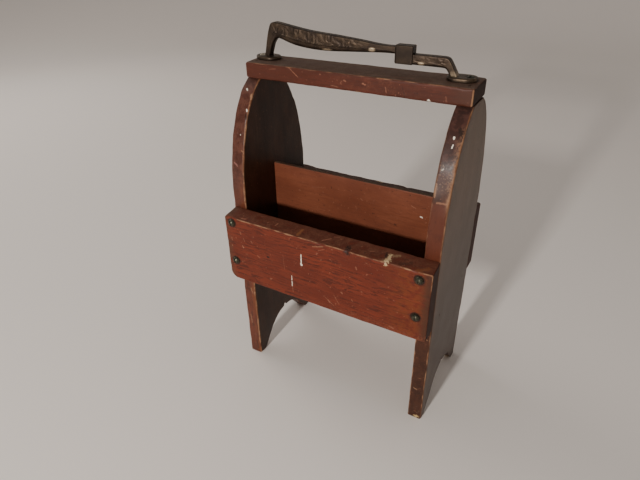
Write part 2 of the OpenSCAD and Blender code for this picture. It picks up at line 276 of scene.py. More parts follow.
def rect_rings(lo, hi, radii, step, reach):
    """The outline of a rectangular board, its inner ring at reach inside it, and the number
    of points on its lower side. The straight sides have a point about every step."""
    counts = [max(3, round((high - low) / step)) for low, high in zip(lo, hi)]
    ring, across = box_ring(lo, hi, radii, counts)
    inner_radii = [max(r - reach, 0.5) for r in radii]
    inner, _ = box_ring(np.add(lo, reach), np.subtract(hi, reach), inner_radii, counts)
    return ring, inner, across


# ---------------------------------------------------------------- shader fields


class Field:
    """A number or colour that changes over a surface: wraps a socket, and arithmetic
    on it adds Math nodes."""

    def __init__(self, finish, socket):
        self.finish, self.socket = finish, socket

    def math(self, operation, *others):
        """A Math node whose first input is this number."""
        inputs = dict(enumerate((self, *others)))
        return self.finish.node("ShaderNodeMath", {"operation": operation}, inputs)

    def __add__(self, other):
        return self.math("ADD", other)

    __radd__ = __add__

    def __sub__(self, other):
        return self.math("SUBTRACT", other)

    def __rsub__(self, other):
        return self.finish.node("ShaderNodeMath", {"operation": "SUBTRACT"}, {0: other, 1: self})

    def __mul__(self, other):
        return self.math("MULTIPLY", other)

    __rmul__ = __mul__

    def __truediv__(self, other):
        return self.math("DIVIDE", other)

    def __pow__(self, other):
        return self.math("POWER", other)

    def __abs__(self):
        return self.math("ABSOLUTE")

    def clip(self):
        """The number kept between 0 and 1."""
        return self.math("MAXIMUM", 0.0).math("MINIMUM", 1.0)


class Finish:
    """A material in the making: one Principled shader and the fields that feed it."""

    def __init__(self, name, **constants):
        self.material = bpy.data.materials.new(name)
        self.material.use_nodes = True
        self.tree = self.material.node_tree
        self.tree.nodes.clear()
        self.shader = self.tree.nodes.new("ShaderNodeBsdfPrincipled")
        output = self.tree.nodes.new("ShaderNodeOutputMaterial")
        self.tree.links.new(self.shader.outputs[0], output.inputs[0])
        for key, value in constants.items():
            self.shader.inputs[key.replace("_", " ")].default_value = value

    def node(self, kind, settings, inputs, out=0):
        """Adds a node: its settings first, then values or links for its sockets."""
        made = self.tree.nodes.new(kind)
        for key, value in settings.items():
            setattr(made, key, value)
        for key, value in inputs.items():
            if isinstance(value, Field):
                self.tree.links.new(value.socket, made.inputs[key])
            else:
                made.inputs[key].default_value = value
        return Field(self, made.outputs[out])

    def feed(self, **fields):
        """Links each field to the shader's input of that name."""
        for key, field in fields.items():
            self.tree.links.new(field.socket, self.shader.inputs[key.replace("_", " ")])

    def place(self):
        """Object coordinates in millimetres, as three fields."""
        return self.parts(self.node("ShaderNodeTexCoord", {}, {}, "Object"), 1 / MM)

    def facing(self):
        """The surface normal's three parts."""
        return self.parts(self.node("ShaderNodeTexCoord", {}, {}, "Normal"))

    def parts(self, vector, scale=1):
        """The three parts of a vector, each times scale."""
        split = self.node("ShaderNodeSeparateXYZ", {}, {0: vector})
        fields = [Field(self, split.socket.node.outputs[k]) for k in range(3)]
        return fields if scale == 1 else [field * scale for field in fields]

    def vector(self, x, y, z):
        """A vector of three numbers."""
        return self.node("ShaderNodeCombineXYZ", {}, {0: x, 1: y, 2: z})

    def noise(self, vector, detail=3.0, rough=0.5):
        """Noise of 0 to 1 whose lumps are about one unit of vector wide."""
        inputs = {"Vector": vector, "Scale": 1.0, "Detail": detail, "Roughness": rough}
        return self.node("ShaderNodeTexNoise", {}, inputs)

    def step(self, lo, hi, field):
        """0 where field is below lo, 1 above hi, smooth between."""
        inputs = {"Value": field, "From Min": lo, "From Max": hi}
        return self.node("ShaderNodeMapRange", {"interpolation_type": "SMOOTHSTEP"}, inputs)

    def fade(self, lo, hi, field):
        """1 where field is below lo, 0 above hi, smooth between."""
        return 1 - self.step(lo, hi, field)

    def mix(self, share, a, b):
        """Colour a turning into colour b as share goes from 0 to 1. The Mix node keeps its
        colours on sockets 6 and 7, and gives the result on socket 2."""
        return self.node("ShaderNodeMix", {"data_type": "RGBA"}, {0: share, 6: a, 7: b}, 2)

    def kept(self, name):
        """A number kept at the mesh's points."""
        return self.node("ShaderNodeAttribute", {"attribute_name": name}, {}, "Fac")

    def bump(self, height, strength, distance):
        """The normal of a surface raised by height times distance, in metres."""
        inputs = {"Height": height, "Strength": strength, "Distance": distance}
        return self.node("ShaderNodeBump", {}, inputs)


def tone(*display):
    """A colour from red, green and blue display values of 0 to 255, made linear."""
    shares = [value / 255 for value in display]
    linear = [s / 12.92 if s <= 0.04045 else ((s + 0.055) / 1.055) ** 2.4 for s in shares]
    return (*linear, 1.0)


# ---------------------------------------------------------------- finishes

BARE = tone(158, 120, 90)
OLD_WOOD = tone(118, 76, 52)
SCRAPE = tone(146, 96, 74)
GRIME = tone(30, 22, 17)
WHITE_PAINT = tone(232, 222, 206)
CREAM_PAINT = tone(186, 160, 122)

# stains as dark tone, light tone and late wood
RED = (tone(90, 33, 17), tone(110, 43, 23), tone(46, 18, 11))
PLAIN_BROWN = (tone(96, 77, 63), tone(109, 89, 74), tone(86, 68, 55))
DARK_BROWN = (tone(50, 31, 21), tone(72, 44, 30), tone(44, 27, 19))
EDGE_RED = (tone(80, 40, 28), tone(102, 52, 37), tone(56, 32, 25))
EDGE_DARK = (tone(62, 34, 22), tone(84, 46, 30), tone(46, 27, 20))
THIN_RED = (tone(103, 54, 36), tone(121, 67, 46), tone(90, 46, 30))
BAR_RED = (tone(70, 31, 18), tone(88, 40, 26), tone(48, 22, 14))
# films on what faces up, as tone, share and speckle tone
DUSTY_RED = (tone(78, 42, 30), 0.85, tone(98, 60, 44))
DUSTY_BROWN = (tone(58, 44, 34), 0.9, tone(84, 70, 56))
DUSTY_GREY = (tone(82, 61, 49), 0.93, tone(98, 78, 65))


def streak(f, x, z, start, end, width, grit):
    """1 near the straight line from start to end and 0 further from it than about half of
    width: the distance to the line's nearest point, frayed by grit, wide marks the most."""
    dx, dz = end[0] - start[0], end[1] - start[1]
    px, pz = x - start[0], z - start[1]
    share = ((px * dx + pz * dz) / max(dx * dx + dz * dz, 1e-6)).clip()
    gap_x, gap_z = px - share * dx, pz - share * dz
    fray = width * (3.0 if width > 3 else 1.5) + 0.6
    gap = (gap_x * gap_x + gap_z * gap_z) ** 0.5 + (grit - 0.5) * fray
    return f.fade(width * 0.3, width * 0.62, gap)


class Stain:
    """A board's stain while its own marks are laid over it: the fields of place and of the
    way the surface faces, the colour and roughness so far, how much of the stain the wear
    has left, and the fine and middling noise that make marks uneven."""

    def __init__(self, f, place, normal, colour, rough, fresh, grit, mottle):
        self.f, self.place, self.normal = f, place, normal
        self.colour, self.rough, self.fresh = colour, rough, fresh
        self.grit, self.mottle = grit, mottle

    def lay(self, share, colour):
        """Another colour over the stain, where and as strongly as share says."""
        self.colour = self.f.mix(share, self.colour, colour)

    def splash(self, level, upright, here, spots):
        """Paint splashes and scrapes: each is (start, end, width, colour, strength)."""
        for start, end, width, paint, strength in spots:
            shape = streak(self.f, level, upright, start, end, width, self.grit)
            self.lay(shape * here * strength, paint)

    def screw_rings(self, x, z, here, spots, radius=6.4):
        """Dark rings of old oil and rust round the screw heads."""
        for cx, cz in spots:
            gap = ((x - cx) * (x - cx) + (z - cz) * (z - cz)) ** 0.5 + (self.grit - 0.5) * 3.0
            self.lay(self.f.fade(radius * 0.82, radius * 1.2, gap) * here * 0.85, GRIME)


def stained_wood(
    name, grain, pith, ring_gap, face, seed, edge=None, figure=0.75, top=DUSTY_RED, gloss=0.42, marks=None
):
    """Stained board. Growth rings are cylinders about a pith line that runs along the
    grain beside the board, bent by slow noise; each ring darkens slowly and ends sharply.
    Fibres and pores are noise drawn out along the grain. Faces and edges have their own
    tones (dark, light, late wood), and what faces up carries a dull film of two tones:
    top is (tone, share, speckle tone). Where the kept number "worn" is high, fine noise
    breaks the stain through to bare wood. marks adds the board's own knocks and splashes.
    grain names the axes along the grain, across the face and through the thickness, and
    pith gives the pith line's place on the last two."""
    f = Finish(name, Coat_Weight=0.04, Coat_Roughness=0.3, Specular_IOR_Level=0.22)
    place, normal = f.place(), f.facing()
    along, side, deep = (place["XYZ".index(axis)] for axis in grain)
    # slow and quicker drifts that bend the rings and the streaks
    drift = f.noise(f.vector(along * 0.007 + seed, side * 0.022, deep * 0.022), 2.0) - 0.5
    drift_fine = f.noise(f.vector(along * 0.035 + seed, side * 0.1, deep * 0.1), 3.0) - 0.5
    from_a = side - pith[0] + drift * 46.0 + drift_fine * 6.0
    from_b = deep - pith[1] + drift * 18.0
    ring = (((from_a * from_a + from_b * from_b) ** 0.5) / ring_gap).math("FRACT")
    late_wood = f.step(0.2, 0.88, ring) * f.fade(0.92, 1.0, ring)
    # dark streaks that start and stop along the grain, then the finer grain
    bent = drift * 34.0 + drift_fine * 8.0
    broken = f.noise(f.vector(along * 0.036 + seed, (side + bent) * 0.46, (deep + bent) * 0.46), 3.0, 0.6)
    streaks = f.step(0.51, 0.62, broken)
    fibre = f.noise(f.vector(along * 0.035 + seed, side * 0.9, deep * 0.9), 5.0, 0.6)
    pores = f.step(0.6, 0.72, f.noise(f.vector(along * 0.11, side * 2.2 + seed, deep * 2.2), 2.0))
    # uneven stain in three sizes: clouds, mottle and grit
    cloud = f.noise(f.vector(along * 0.014 + seed, side * 0.034, deep * 0.034), 4.0, 0.62)
    mottle = f.noise(f.vector(*(c * 0.11 + seed for c in place)), 4.0, 0.65)
    grit = f.noise(f.vector(place[0] * 0.55, place[1] * 0.55 + seed, place[2] * 0.55), 5.0, 0.7)
    # rim is 1 on the edges of the board and 0 on its faces
    rim = f.fade(0.55, 0.85, abs(normal["XYZ".index(grain[2])]))
    dark, light, late = face
    if edge is not None:
        dark, light, late = (f.mix(rim, one, other) for one, other in zip(face, edge))
    colour = f.mix(f.step(0.32, 0.68, cloud), dark, light)
    colour = f.mix(late_wood * f.step(0.3, 0.6, cloud) * figure * 0.3, colour, late)
    colour = f.mix(streaks * f.step(0.25, 0.6, cloud) * figure, colour, late)
    colour = f.mix(f.step(0.45, 0.75, fibre) * 0.4, colour, dark)
    colour = f.mix(pores * 0.3, colour, GRIME)
    if edge is not None:
        colour = f.mix(rim * f.step(0.5, 0.66, mottle) * 0.6, colour, late)
    film_tone, film_share, speckle_tone = top
    film = f.step(0.55, 0.9, normal[2]) * f.step(0.25, 0.6, mottle + 0.1)
    speckled = f.mix(f.step(0.42, 0.62, mottle * 0.5 + grit * 0.5), film_tone, speckle_tone)
    colour = f.mix(film * film_share, colour, speckled)
    # short pale scrapes, then small pale flecks and black specks, all few and irregular
    scuff = f.step(0.64, 0.74, f.noise(f.vector(along * 0.24, side * 0.34 + seed, deep * 0.34), 6.0, 0.74))
    colour = f.mix(scuff * 0.4, colour, SCRAPE)
    fleck = f.step(0.69, 0.73, f.noise(f.vector(*(c * 0.3 + seed for c in place)), 2.0, 0.5))
    colour = f.mix(fleck * 0.45, colour, SCRAPE)
    soot = f.step(0.68, 0.72, f.noise(f.vector(*(c * 0.26 - seed for c in place)), 2.0, 0.5))
    colour = f.mix(soot * 0.5, colour, GRIME)
    # worn arrises down to the bare wood, and end grain that has drunk more stain
    rubbed = f.step(0.46, 0.74, f.kept("worn") * 0.7 + grit * 0.3 + mottle * 0.16)
    colour = f.mix(rubbed * 0.85, colour, f.mix(f.step(0.4, 0.62, mottle), BARE, OLD_WOOD))
    end_grain = f.step(0.6, 0.9, abs(normal["XYZ".index(grain[0])])) * (1 - rubbed)
    colour = f.mix(end_grain * 0.75, colour, GRIME)
    height = fibre * 0.5 - pores * 0.4 - late_wood * 0.12 + grit * 0.3 + rubbed * 0.1
    rough = gloss + fibre * 0.16 + rubbed * 0.25 + scuff * 0.1 + film * 0.2 - rim * 0.05 + end_grain * 0.3
    stain = Stain(f, place, normal, colour, rough, 1 - rubbed * 0.9, grit, mottle)
    if marks is not None:
        marks(stain)
    f.feed(Base_Color=stain.colour, Roughness=stain.rough, Normal=f.bump(height, 0.35, 0.0004))
    return f.material


# ---------------------------------------------------------------- boards

rail_lo, rail_hi = cad("front_rail")
rear_lo, rear_hi = cad("rear_rail")
left_lo, left_hi = cad("end_board_left")
right_lo, right_hi = cad("end_board_right")
base_lo, base_hi = cad("bottom_board")
panel_lo, panel_hi = cad("centre_divider")
bar_lo, bar_hi = cad("top_bar")


def screw_spots(row):
    """X and Z of the middles of a rail's four screw heads."""
    places = ("left_top", "left_low", "right_top", "right_low")
    boxes = [cad(f"{row}_screw_{where}") for where in places]
    return [((lo[0] + hi[0]) / 2, (lo[2] + hi[2]) / 2) for lo, hi in boxes]


def front_rail_marks(stain):
    """Paint drips, chips and scrapes on the front rail, amber and worn stain to its right,
    and grime at its ends."""
    f, (x, y, z) = stain.f, stain.place
    face = f.step(0.6, 0.9, 0 - stain.normal[1])
    spots = [
        ((-24, 220), (-24, 207), 1.4, WHITE_PAINT, 0.95),
        ((-24, 207), (-23.6, 205), 2.2, WHITE_PAINT, 1.0),
        ((-39, 184), (-39, 178), 1.3, WHITE_PAINT, 0.75),
        ((-39, 176), (-39, 169), 1.7, WHITE_PAINT, 0.6), ((-39, 167), (-38, 160), 1.0, SCRAPE, 0.4),
        ((-113, 226), (-112, 223), 1.3, SCRAPE, 0.7), ((-109, 218), (-107, 214), 1.0, SCRAPE, 0.5),
        ((-112, 206), (-110, 204), 1.8, SCRAPE, 0.9), ((-97, 217), (-96, 215), 1.4, SCRAPE, 0.5),
        ((-89, 198), (-86, 196), 1.6, SCRAPE, 0.5), ((-128, 214), (-127.5, 210), 1.3, SCRAPE, 0.6),
        ((-129, 203), (-128.5, 201), 1.2, BARE, 0.5), ((-74, 201), (-72, 201), 2.4, GRIME, 1.0),
        ((-72, 168), (-70, 169), 1.8, SCRAPE, 0.5), ((48, 226), (49, 223), 1.8, SCRAPE, 0.5),
        ((30, 184), (31, 183), 2.0, SCRAPE, 0.6), ((12, 166), (14, 163), 1.8, SCRAPE, 0.6),
        ((6, 170), (20, 160), 0.8, SCRAPE, 0.5), ((20, 176), (27, 165), 0.8, SCRAPE, 0.45),
        ((92, 158), (97, 157), 1.8, SCRAPE, 0.6), ((-8, 236), (6, 240), 1.1, BARE, 0.5),
        ((0, 233), (8, 237), 0.9, SCRAPE, 0.5), ((-50, 212), (-49, 190), 0.7, SCRAPE, 0.25),
    ]
    stain.splash(x, z, face, spots)
    amber = face * f.step(70, 118, x) * f.step(0.4, 0.56, stain.mottle) * 0.5
    stain.lay(amber, tone(112, 56, 24))
    border = face * f.step(122, 134, x + (stain.mottle - 0.5) * 12.0) * stain.fresh * 0.75
    stain.lay(border, tone(58, 38, 26))
    worn_low = face * f.fade(155, 165, z + (stain.mottle - 0.5) * 14.0) * f.step(-30, 60, x) * 0.5
    stain.lay(worn_low * f.step(0.45, 0.6, stain.grit), tone(122, 70, 50))
    stain.screw_rings(x, z, face, screw_spots("front"))
    above = f.step(0.5, 0.8, stain.normal[2])
    top_spots = [
        ((84, -89), (83, -80), 4.2, CREAM_PAINT, 0.9), ((82, -90.5), (83, -88), 6.0, CREAM_PAINT, 0.8),
        ((86, -80), (92, -77), 3.4, CREAM_PAINT, 0.25), ((78, -78), (80, -84), 3.2, GRIME, 0.7),
        ((-30, -88), (-29, -79), 3.4, tone(134, 84, 50), 0.6),
        ((-64, -84), (-63, -80), 1.8, SCRAPE, 0.6), ((-112, -88), (-106, -87), 1.8, SCRAPE, 0.7),
        ((2, -86), (10, -80), 1.4, SCRAPE, 0.6), ((12, -76), (18, -74), 1.2, SCRAPE, 0.45),
        ((60, -82), (64, -80), 1.2, SCRAPE, 0.4), ((36, -92), (36, -86), 6.0, GRIME, 0.8),
        ((-90, -76), (-84, -74), 1.2, SCRAPE, 0.4),
        ((118, -90), (128, -84), 4.0, tone(120, 70, 40), 0.5),
        ((98, -88), (108, -82), 4.0, tone(60, 40, 30), 0.5),
    ]
    stain.splash(x, y, above, top_spots)
    arris_spots = [
        ((34.5, 243), (37, 241), 5.0, GRIME, 0.85), ((82, 243.5), (83, 239.5), 3.2, CREAM_PAINT, 0.85),
    ]
    stain.splash(x, z, face, arris_spots)
    left_grime = f.fade(-136, -122, x) * 0.5
    stain.lay(left_grime * f.step(0.35, 0.6, stain.mottle), tone(74, 60, 44))


def rear_rail_marks(stain):
    """Screw stains, painted shade that darkens the top where the divider's shadow falls, and one pale
    splash on the top.
    """
    f, (x, y, z) = stain.f, stain.place
    # painted shade: the top is darkened to stand for the divider's shadow across it
    stain.lay(f.step(0.5, 0.9, stain.normal[2]) * 0.6, tone(36, 24, 17))
    back = f.step(0.6, 0.9, stain.normal[1])
    stain.screw_rings(x, z, back, screw_spots("rear"))
    above = f.step(0.5, 0.8, stain.normal[2])
    stain.splash(x, y, above, [((-9, 90), (-1, 88), 3.0, tone(196, 168, 128), 0.9)])


def left_end_marks(stain):
    """The left board's front edge: amber stain low, mauve above, chips and splashes."""
    f, (x, _, z) = stain.f, stain.place
    edge = f.step(0.3, 0.7, 0 - stain.normal[1])
    amber = edge * f.step(-128, -120, x) * f.fade(300, 350, z) * stain.fresh * 0.5
    stain.lay(amber * f.step(0.42, 0.64, stain.mottle), tone(128, 70, 34))
    mauve = edge * f.step(250, 300, z) * stain.fresh * 0.7
    stain.lay(mauve, f.mix(f.step(0.42, 0.6, stain.mottle), tone(66, 40, 34), tone(94, 60, 50)))
    spots = [
        ((-129, 387), (-127.5, 386), 1.7, WHITE_PAINT, 0.8),
        ((-120, 382), (-118.5, 378), 2.2, BARE, 0.8),
        ((-121, 367.5), (-120, 366), 1.8, WHITE_PAINT, 0.95),
        ((-124.5, 340), (-124, 339.6), 1.2, WHITE_PAINT, 0.5),
        ((-121, 322), (-119, 321), 1.6, BARE, 0.5),
        ((-131, 306), (-127, 303), 2.0, tone(150, 104, 96), 0.6),
        ((-121, 362), (-119, 358), 2.4, GRIME, 0.6), ((-124, 120), (-122, 112), 2.4, BARE, 0.4),
        ((-130, 70), (-129, 55), 2.0, BARE, 0.4), ((-124, 22), (-122, 8), 3.0, GRIME, 0.5),
    ]
    stain.splash(x, z, edge, spots)
    stain.rough = stain.rough - mauve * 0.12


def right_end_marks(stain):
    """The right board's front edge: near black under the bar, a glossy worn stretch below it with painted
    pale glints as highlights, a scraped line, then redder stain; its foot has lost its paint."""
    f, (x, y, z) = stain.f, stain.place
    edge = f.step(0.3, 0.7, 0 - stain.normal[1])
    shade = edge * f.step(312, 350, z) * stain.fresh * 0.8
    stain.lay(shade, f.mix(f.step(0.45, 0.62, stain.mottle), tone(50, 31, 28), tone(76, 48, 42)))
    gloss_and_glint_zone = edge * f.step(318, 330, z) * f.fade(346, 358, z) * stain.fresh
    # painted highlight: pale glints flecked over the glossy stretch, whose lower roughness below is real
    # gloss
    stain.lay(gloss_and_glint_zone * f.step(0.54, 0.64, stain.grit) * 0.6, tone(146, 118, 94))
    stain.rough = stain.rough - gloss_and_glint_zone * 0.05
    tan_height = f.step(296, 304, z) * f.fade(372, 388, z)
    tan_side = edge * f.step(128, 135, x + (stain.mottle - 0.5) * 14.0) * tan_height
    stain.lay(tan_side * f.step(0.4, 0.56, stain.grit) * 0.7, tone(132, 96, 70))
    redder = edge * f.fade(308, 314, z) * f.step(240, 250, z) * stain.fresh
    stain.lay(redder * 0.5, tone(92, 40, 24))
    foot = edge * f.fade(8, 36, z)
    stain.lay(foot * f.step(0.55, 0.66, stain.mottle) * 0.7, GRIME)
    stain.lay(foot * f.step(0.56, 0.66, stain.grit) * 0.6, tone(150, 134, 120))
    low = edge * f.fade(110, 165, z) * stain.fresh * 0.6
    stain.lay(low, f.mix(f.step(0.4, 0.6, stain.mottle), tone(40, 24, 17), tone(66, 38, 26)))
    outside = f.step(0.6, 0.9, stain.normal[0])
    stain.lay(outside * f.fade(120, 360, z) * 0.8, tone(60, 42, 33))
    dark_top = outside * f.fade(-50, -12, y + (stain.mottle - 0.5) * 20.0) * f.step(330, 390, z) * 0.7
    stain.lay(dark_top, tone(58, 40, 30))
    rubbed_front = outside * f.fade(-68, -48, y) * f.step(0.4, 0.6, stain.mottle)
    stain.lay(rubbed_front * 0.5, tone(112, 78, 56))
    scratches = f.step(0.6, 0.68, f.noise(f.vector(x * 0.12, y * 0.3, z * 0.4), 5.0, 0.7))
    stain.lay(edge * f.fade(150, 170, z) * scratches * 0.6, SCRAPE)
    spots = [
        ((126, 373), (126.3, 372.5), 2.0, WHITE_PAINT, 1.0),
        ((126.8, 367), (126.3, 364.5), 1.3, WHITE_PAINT, 1.0),
        ((122, 344), (123, 345), 1.4, WHITE_PAINT, 0.5),
        ((123, 312), (133, 312.5), 2.0, tone(150, 104, 78), 0.6),
        ((119, 330), (119.5, 318), 2.2, BARE, 0.6), ((130, 380), (132, 377), 4.0, GRIME, 0.7),
        ((128, 2), (131.5, 3), 3.6, tone(196, 168, 116), 0.8),
        ((121, 138), (132, 136), 1.6, BARE, 0.5), ((122, 52), (126, 51), 1.8, BARE, 0.5),
    ]
    stain.splash(x, z, edge, spots)


def divider_marks(stain):
    """Small pale splashes and scrapes on the divider's front face."""
    f, (x, _, z) = stain.f, stain.place
    face = f.step(0.6, 0.9, 0 - stain.normal[1])
    spots = [
        ((88, 256.6), (90, 256), 1.9, WHITE_PAINT, 0.8), ((76, 268), (81, 266), 1.1, SCRAPE, 0.8),
        ((10, 262), (12, 260), 1.4, SCRAPE, 0.5), ((-60, 262), (-40, 266), 1.0, SCRAPE, 0.25),
        ((40, 240), (60, 236), 1.0, GRIME, 0.3),
    ]
    stain.splash(x, z, face, spots)


def bar_marks(stain):
    """The bar's front face: a slanting scratch, knocks, a darker left end and a tan middle.
    Its top has long faint scratches."""
    f, (x, y, z) = stain.f, stain.place
    face = f.step(0.6, 0.9, 0 - stain.normal[1])
    spots = [
        ((-76, 417), (-62, 406), 1.0, SCRAPE, 0.7),
        ((90.5, 399.6), (91.5, 399), 2.4, WHITE_PAINT, 0.9), ((18, 408), (21, 407), 1.8, SCRAPE, 0.7),
        ((-4, 409), (-2, 408), 1.6, SCRAPE, 0.6), ((11, 399), (16, 398.5), 1.4, BARE, 0.6),
        ((44, 407), (45, 402), 1.2, SCRAPE, 0.5), ((-20, 402), (-12, 401), 1.1, SCRAPE, 0.5),
        ((-100, 411), (-92, 412), 1.4, SCRAPE, 0.35), ((62, 410), (66, 400), 1.2, GRIME, 0.4),
        ((108, 405), (109, 401), 1.8, SCRAPE, 0.3),
    ]
    stain.splash(x, z, face, spots)
    dark_end = face * f.fade(-118, -60, x) * 0.45
    stain.lay(dark_end, tone(70, 34, 24))
    tan_middle = face * f.step(-40, 10, x) * f.fade(60, 100, x)
    tan_patch = tan_middle * f.step(0.46, 0.6, stain.mottle) * f.step(0.4, 0.6, stain.grit)
    stain.lay(tan_patch * 0.4, tone(104, 58, 40))
    right_end = face * f.step(108, 128, x) * stain.fresh * 0.5
    stain.lay(right_end, tone(72, 44, 32))
    above = f.step(0.6, 0.9, stain.normal[2])
    top_spots = [
        ((-110, 14), (40, 17), 1.4, SCRAPE, 0.25), ((20, -16), (70, -12), 1.2, SCRAPE, 0.3),
        ((60, -4), (68, 4), 1.4, SCRAPE, 0.3),
    ]
    stain.splash(x, y, above, top_spots)


WOODS = {
    "front_rail": stained_wood(
        "stain_front_rail", "XZY", pith=(150, 30), ring_gap=2.9, face=RED, seed=3.1,
        figure=0.68, marks=front_rail_marks,
    ),
    "rear_rail": stained_wood(
        "stain_rear_rail", "XZY", pith=(260, 60), ring_gap=3.4, face=RED, seed=7.7,
        figure=0.55, marks=rear_rail_marks,
    ),
    "end_board_left": stained_wood(
        "stain_end_left", "ZYX", pith=(90, -190), ring_gap=4.8, face=DARK_BROWN, seed=11.3,
        edge=EDGE_RED, figure=0.35, gloss=0.34, marks=left_end_marks,
    ),
    "end_board_right": stained_wood(
        "stain_end_right", "ZYX", pith=(-100, 170), ring_gap=5.0, face=PLAIN_BROWN, seed=19.9,
        edge=EDGE_DARK, figure=0.25, gloss=0.36, marks=right_end_marks,
    ),
    "bottom_board": stained_wood(
        "stain_bottom", "XYZ", pith=(60, 120), ring_gap=6.0, face=DARK_BROWN, seed=23.0
    ),
    "centre_divider": stained_wood(
        "stain_divider", "XZY", pith=(320, -40), ring_gap=5.5, face=THIN_RED, seed=29.4,
        figure=0.35, top=DUSTY_BROWN, marks=divider_marks,
    ),
    "top_bar": stained_wood(
        "stain_bar", "XYZ", pith=(-70, 330), ring_gap=4.2, face=BAR_RED, seed=31.8,
        figure=0.45, top=DUSTY_GREY, marks=bar_marks,
    ),
}

NAIL_HEAD_R = 1.5


def nail_places(node, flat_axis):
    """Middles of a nail node's two heads: along Y, and on the other axis given."""
    lo, hi = cad(node)
    middle = (lo[flat_axis] + hi[flat_axis]) / 2
    return [(lo[1] + NAIL_HEAD_R, middle), (hi[1] - NAIL_HEAD_R, middle)]


def dimples(a, b, spots, deep=0.4, radius=1.9):
    """Depth of the hollows over the nail heads: deep at the middle, and e to the minus
    sixth power of distance over radius, which gives a flat floor and a steep side."""
    return sum(deep * np.exp(-(((a - y) ** 2 + (b - c) ** 2) / radius**2) ** 3) for y, c in spots)


def chipped(at, chips):
    """Extra width of an arris where it is chipped: a bell curve at each (place, spread, depth)."""
    return sum(deep * np.exp(-(((at - middle) / spread) ** 2)) for middle, spread, deep in chips)


def board_place(kind):
    """Turns (a, b, w) into X, Y, Z, with w moved by at: a "rail" board stands along X, an
    "end" board stands along Y and a "flat" one lies."""
    if kind == "end":
        return lambda a, b, w, at: np.stack([w + at, a, b], axis=-1)
    if kind == "rail":
        return lambda a, b, w, at: np.stack([a, w + at, b], axis=-1)
    return lambda a, b, w, at: np.stack([a, b, w + at], axis=-1)


RAIL_FALL = 4.5
RAIL_CORNERS = (10, 2.5, 2.5, 4)
RAIL_CHIPS = ((-92, 5, 0.7), (-52, 4, 0.9), (2, 6, 1.3), (36, 3.5, 2.6), (84, 4, 2.0), (118, 4, 0.8))


def rail(name, lo, hi, outward, seed):
    """A rail: its top falls to the outer edge by RAIL_FALL, its left corners are round, its
    outer top arris is chipped, and its outer face swells with slow noise."""
    middle, half = (lo[1] + hi[1]) / 2, (hi[1] - lo[1]) / 2
    reach = 8.0
    ring, inner, across = rect_rings((lo[0], lo[2]), (hi[0], hi[2]), RAIL_CORNERS, 1.0, reach)
    along, up = ring[:, 0], ring[:, 1]
    top = ease(hi[2] - 3, hi[2] - 1, up)
    blunt = ease(-112, -130, along)
    knocks = 0.2 * wander(seed + 1, 24, along) + chipped(along, RAIL_CHIPS) + 2.6 * blunt
    outer_r = 1.3 + 0.3 * wander(seed, 30, along, up) + top * knocks
    inner_r = 1.2 + 0.3 * wander(seed + 2, 26, along, up)

    def shape(a, b, w):
        outside = ease(0, half, w)
        dents = 0.9 * bump_at(a, b, -73, 201, 1.6, 1.6) + 0.7 * bump_at(a, b, 36, 244, 4, 3)
        swell = 0.22 * wander(seed + 3, 85, a, b) - dents
        slope = RAIL_FALL * (1 - 0.45 * ease(-108, -130, a)) * (w + half) / (2 * half)
        fall = (slope + 0.25 * wander(seed + 6, 50, a, w)) * ease(hi[2] - 45, hi[2], b)
        return a, b - fall, w + swell * outside - 0.15 * (1 - outside) * wander(seed + 4, 70, a, b)

    def wear(a, b):
        patchy = 0.85 + 0.3 * wander(seed + 5, 40, a)
        top_edge = ease(hi[2] - 4, hi[2], b) * patchy * (1 - 0.5 * ease(-114, -126, a))
        right_edge = ease(hi[0] - 2, hi[0], a) * (0.45 + 0.5 * ease(212, 236, b))
        low_edge = ease(lo[2] + 2, lo[2], b) * (0.75 - 0.35 * ease(-60, 40, a))
        left_edge = ease(lo[0] + 3, lo[0], a) * 0.5
        outer = np.maximum.reduce([top_edge, right_edge, low_edge, left_edge])
        return outer, 0.5 * top_edge, 1.3 + 1.2 * right_edge, 0.0

    shell = Shell()
    place = board_place("rail")
    slab(
        shell, ring, inner, across, place=lambda a, b, w: place(a, b, outward * w, middle),
        half=half, front_r=outer_r, back_r=inner_r, reach=reach, shape=shape, wear=wear, wall=12,
    )
    return shell.make(f"{name}_surface", WOODS[name], [name])


rail("front_rail", rail_lo, rail_hi, outward=-1, seed=41)
rail("rear_rail", rear_lo, rear_hi, outward=1, seed=57)


# The end board: straight sides to CROWN_Z, then the middle of a half ellipse CROWN_RISE high,
# cut flat where it is TOP_HALF either side of the middle. The straight runs at the feet and
# the sides have FOOT_STEPS and SIDE_STEPS steps.
HALF_DEPTH = 70.0
CROWN_Z, CROWN_H, TOP_HALF = 259.5, 138.5, 17.5
CROWN_RISE = CROWN_H / math.sqrt(1 - (TOP_HALF / HALF_DEPTH) ** 2)
FOOT_W, FLARE_Z, ARCH_HALF, ARCH_H = 12.0, 20.0, 46.0, 43.0
PEAK_H, PEAK_HALF = 7.0, 3.0
FOOT_STEPS, FLARE_STEPS, SIDE_STEPS = 8, 13, 139


